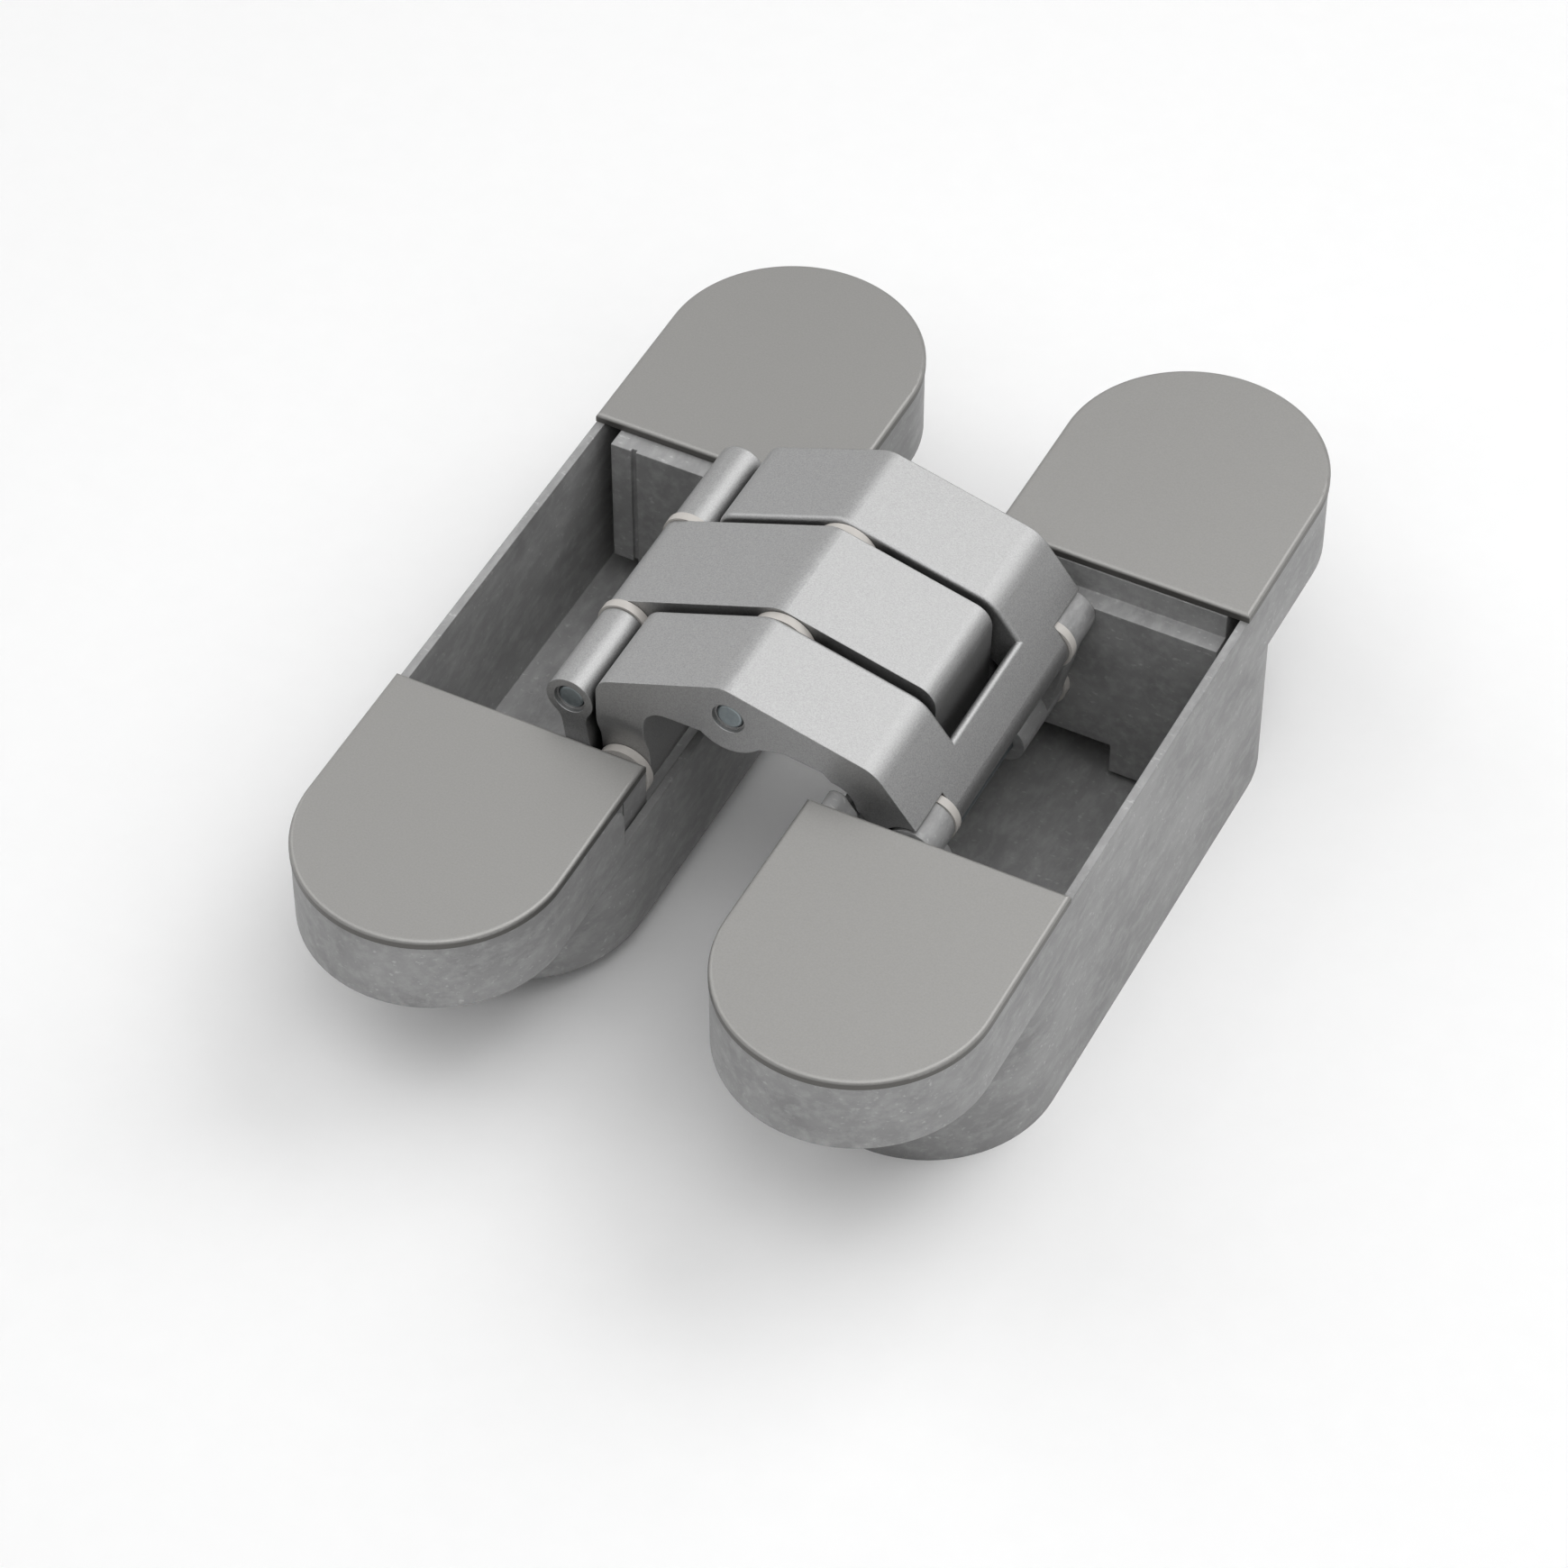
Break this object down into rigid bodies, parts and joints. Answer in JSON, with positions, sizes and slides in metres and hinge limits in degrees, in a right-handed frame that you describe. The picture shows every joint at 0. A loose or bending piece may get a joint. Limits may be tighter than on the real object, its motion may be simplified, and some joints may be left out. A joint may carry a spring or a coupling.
{
  "type": "concealed door hinge",
  "caption": "Concealed hinge for a flush door: rounded housings for frame and door, joined by crossed arms and links that fold into their pockets as the door closes.",
  "frame": {"origin": "centre of the frame-side housing's screw pattern, on the plane where its flanges seat", "axes": "+Z out of the door face, +Y along the housings, +X from the frame-side housing to the door-side housing, door open at 180 degrees"},
  "size_m": [0.0737, 0.1044, 0.0363],
  "materials": {
    "raw_zinc": "raw die-cast zinc",
    "satin_arm": "satin chrome",
    "satin_cover": "satin nickel paint",
    "zinc_plated_steel": "bright zinc plate",
    "steel_pin": "ground steel",
    "washer_plastic": "acetal"
  },
  "bodies": {
    "frame_side": {"left_housing": "raw_zinc", "left_front_cover": "satin_cover", "left_rear_cover": "satin_cover", "left_front_block": "raw_zinc", "left_rear_block": "raw_zinc", "left_clamp_screws": "zinc_plated_steel", "left_adjusting_screws": "zinc_plated_steel", "left_arm_pin": "steel_pin", "left_arm_washers": "washer_plastic"},
    "outer_arm_body": {"outer_arm": "satin_arm", "cross_pin": "steel_pin", "cross_washers": "washer_plastic", "right_link_pin": "steel_pin", "right_link_washers": "washer_plastic"},
    "inner_arm_body": {"inner_arm": "satin_arm", "left_link_pin": "steel_pin", "left_link_washers": "washer_plastic"},
    "left_link_body": {"left_link": "satin_arm", "left_foot_pin": "steel_pin", "left_foot_washers": "washer_plastic"},
    "right_link_body": {"right_front_link": "raw_zinc", "right_rear_link": "raw_zinc", "right_foot_pin": "steel_pin", "right_foot_washers": "washer_plastic"},
    "door_side": {"right_housing": "raw_zinc", "right_front_cover": "satin_cover", "right_rear_cover": "satin_cover", "right_front_block": "raw_zinc", "right_rear_block": "raw_zinc", "right_clamp_screws": "zinc_plated_steel", "right_adjusting_screws": "zinc_plated_steel", "right_arm_pin": "steel_pin", "right_arm_washers": "washer_plastic"}
  },
  "joints": [
    {"name": "door_closing", "type": "hinge", "parent": "frame_side", "child": "outer_arm_body", "pos_m": [0.00998, 0, 0.00421], "axis": [0, -1, 0], "range_deg": [0, 108.52]},
    {"name": "inner_arm_turn", "type": "hinge", "parent": "outer_arm_body", "child": "inner_arm_body", "pos_m": [0.02188, 0, 0.01769], "axis": [0, -1, 0], "range_deg": [-41.15, 0]},
    {"name": "door_side_turn", "type": "hinge", "parent": "inner_arm_body", "child": "door_side", "pos_m": [0.03657, 0, 0.0068], "axis": [0, -1, 0], "range_deg": [0, 112.63]},
    {"name": "left_link_turn", "type": "hinge", "parent": "inner_arm_body", "child": "left_link_body", "pos_m": [0.00431, 0, 0.01213], "axis": [0, -1, 0], "range_deg": [0, 30.59]},
    {"name": "right_link_turn", "type": "hinge", "parent": "outer_arm_body", "child": "right_link_body", "pos_m": [0.0415, 0, 0.00855], "axis": [0, -1, 0], "range_deg": [-20.46, 0]}
  ],
  "couplings": [
    {"joint": "inner_arm_turn", "follows": "door_closing", "ratio": -0.37826},
    {"joint": "door_side_turn", "follows": "door_closing", "ratio": 1.037},
    {"joint": "left_link_turn", "follows": "door_closing", "ratio": 0.28099},
    {"joint": "right_link_turn", "follows": "door_closing", "ratio": -0.18762}
  ]
}
